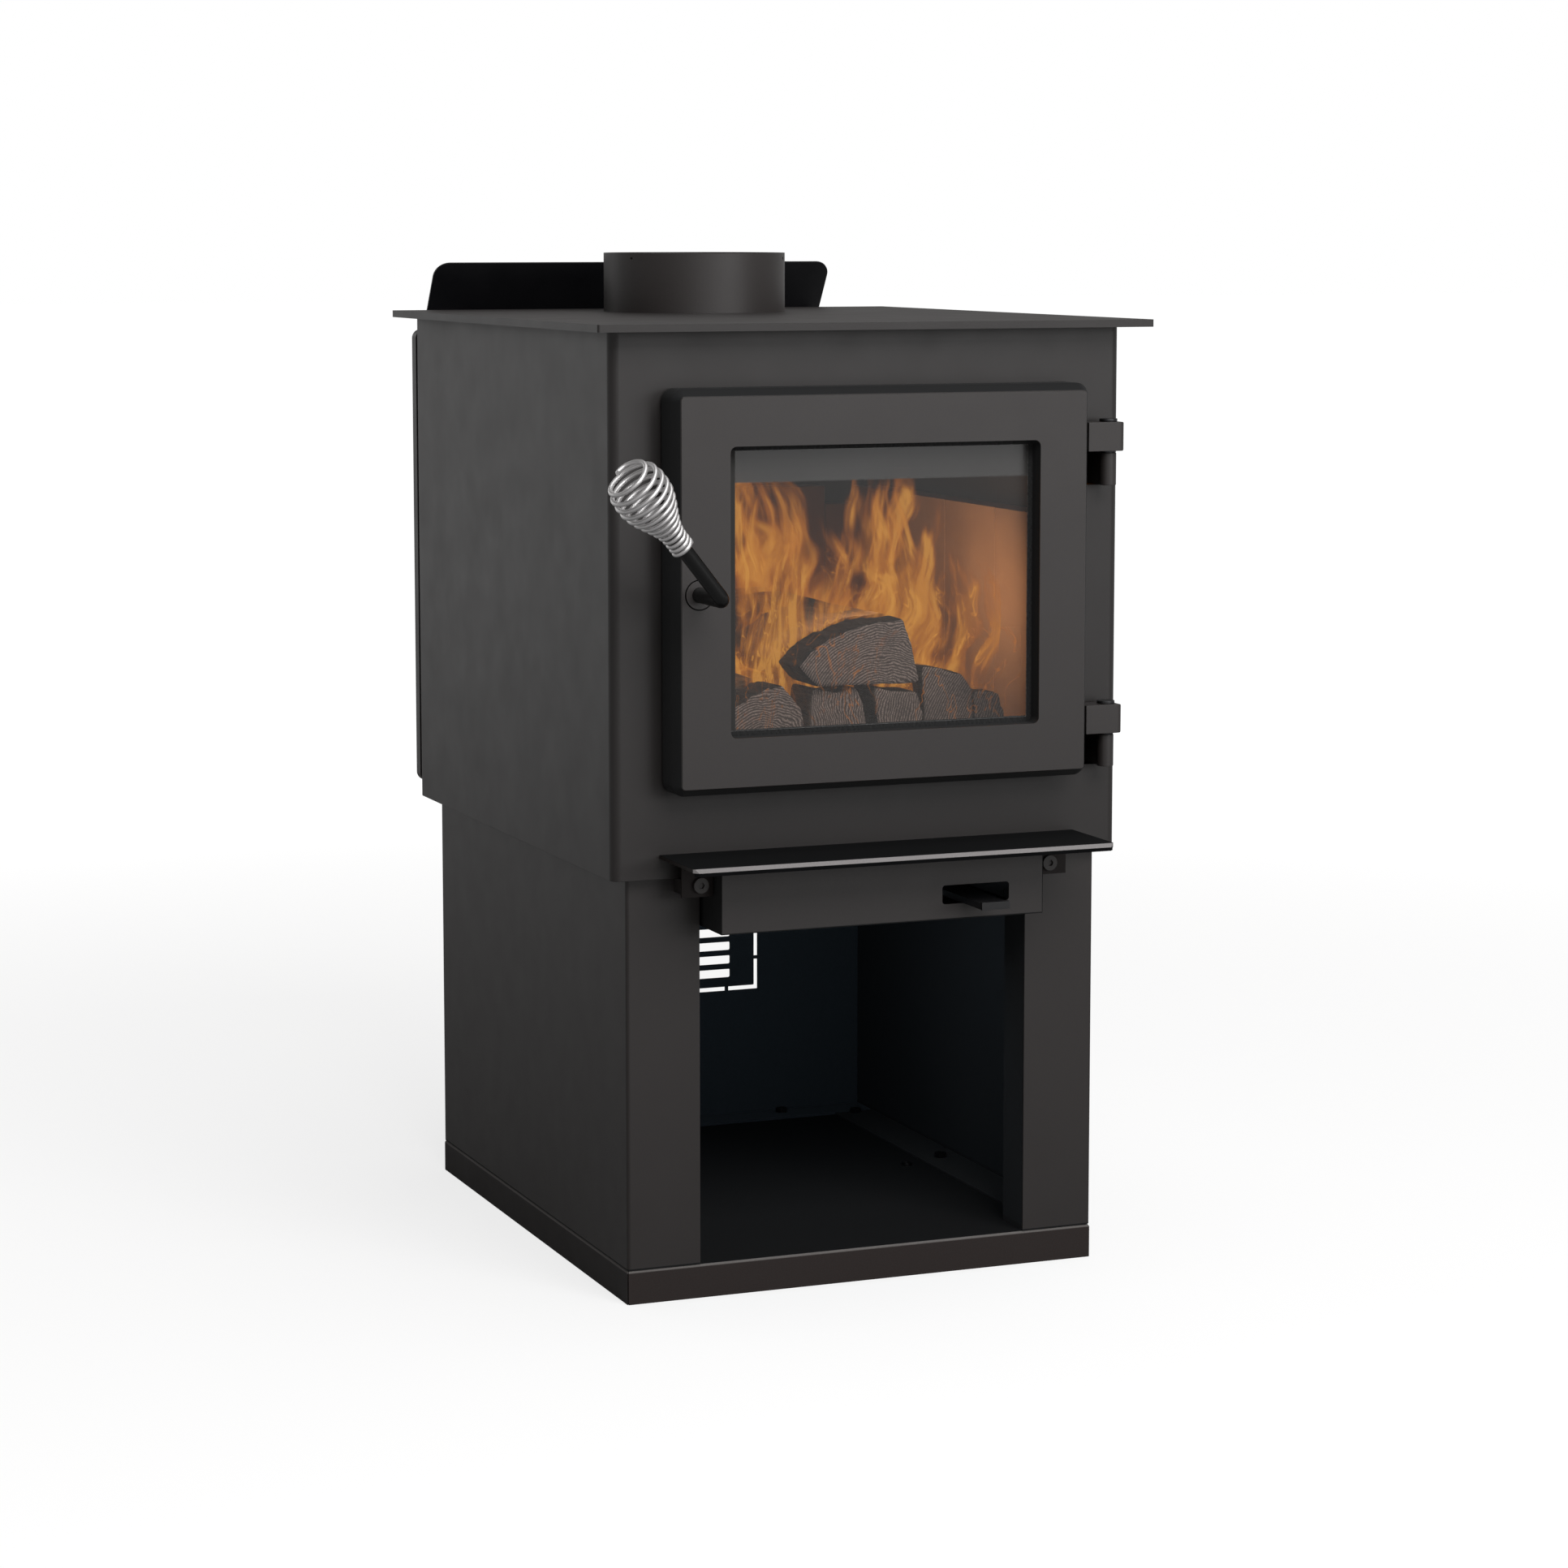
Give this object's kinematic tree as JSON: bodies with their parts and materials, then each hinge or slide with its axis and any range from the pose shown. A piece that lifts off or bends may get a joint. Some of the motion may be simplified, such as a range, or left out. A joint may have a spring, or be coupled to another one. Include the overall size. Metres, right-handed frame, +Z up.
{
  "type": "wood burning stove",
  "caption": "Small wood burning stove on a pedestal with an open wood store, glass door, coil handle, ash lip, sliding air control and a round top flue collar.",
  "frame": {"origin": "centre of the base footprint on the floor", "axes": "+X to the right seen from the front, +Y to the back, +Z up; the door faces -Y"},
  "size_m": [0.4968, 0.7142, 0.8335],
  "materials": {
    "charcoal_paint": "satin high-temperature paint",
    "black_paint": "satin black high-temperature paint",
    "mill_steel": "dark mill scale",
    "heat_tinted_steel": "heat tinted stainless",
    "zinc_hardware": "zinc plated",
    "firebrick": "matte porous",
    "ceramic_wool": "fibrous",
    "firewood": "split, charred",
    "gasket_rope": "braided glass fibre",
    "glass": "ceramic glass",
    "chrome_wire": "polished"
  },
  "bodies": {
    "stove": {"base_floor": "mill_steel", "base_plinth": "charcoal_paint", "plinth_screws": "zinc_hardware", "pedestal_left": "charcoal_paint", "pedestal_right": "charcoal_paint", "pedestal_back_panel": "charcoal_paint", "pedestal_bolts": "zinc_hardware", "post_screws": "zinc_hardware", "firebox_floor": "mill_steel", "firebox_shell": "charcoal_paint", "firebox_back": "charcoal_paint", "hearth_plate": "mill_steel", "hearth_supports": "mill_steel", "side_jambs": "mill_steel", "log_rail": "mill_steel", "brick_retainers": "mill_steel", "floor_bricks": "firebrick", "rear_bricks": "firebrick", "left_bricks": "firebrick", "right_bricks": "firebrick", "air_manifolds": "mill_steel", "secondary_air_tubes": "heat_tinted_steel", "baffle_board": "firebrick", "baffle_blanket": "ceramic_wool", "airwash_channel": "mill_steel", "stove_top": "charcoal_paint", "flue_collar": "charcoal_paint", "rear_cover": "charcoal_paint", "shield_spacers": "zinc_hardware", "heat_shield": "black_paint", "rear_deflector": "black_paint", "shield_rivets": "zinc_hardware", "ash_lip": "charcoal_paint", "ash_lip_brackets": "charcoal_paint", "ash_lip_screws": "charcoal_paint", "air_box": "charcoal_paint", "air_box_screws": "zinc_hardware", "damper_guides": "mill_steel", "hinge_brackets": "charcoal_paint", "latch_catch": "zinc_hardware", "firewood": "firewood"},
    "door": {"door_frame": "charcoal_paint", "door_hinge_lugs": "charcoal_paint", "hinge_pins": "zinc_hardware", "hinge_washers": "zinc_hardware", "door_gasket": "gasket_rope", "glass_gasket": "gasket_rope", "door_glass": "glass", "glass_clips": "zinc_hardware", "glass_clip_screws": "zinc_hardware", "handle_bushing": "charcoal_paint"},
    "handle": {"handle_rod": "black_paint", "handle_coil_grip": "chrome_wire", "latch_cam": "zinc_hardware", "cam_nut": "zinc_hardware"},
    "air_control": {"air_lever": "mill_steel", "air_damper": "mill_steel", "lever_rivets": "zinc_hardware"}
  },
  "joints": [
    {"name": "door_hinge", "type": "hinge", "parent": "stove", "child": "door", "pos_m": [0.2015, -0.2764, 0.573], "axis": [0, 0, 1], "range_deg": [0, 115]},
    {"name": "handle_turn", "type": "hinge", "parent": "door", "child": "handle", "pos_m": [-0.159, -0.3, 0.5724], "axis": [0, -1, 0], "range_deg": [0, 55]},
    {"name": "air_slide", "type": "slide", "parent": "stove", "child": "air_control", "axis": [1, 0, 0], "range_m": [-0.016, 0.016]}
  ]
}
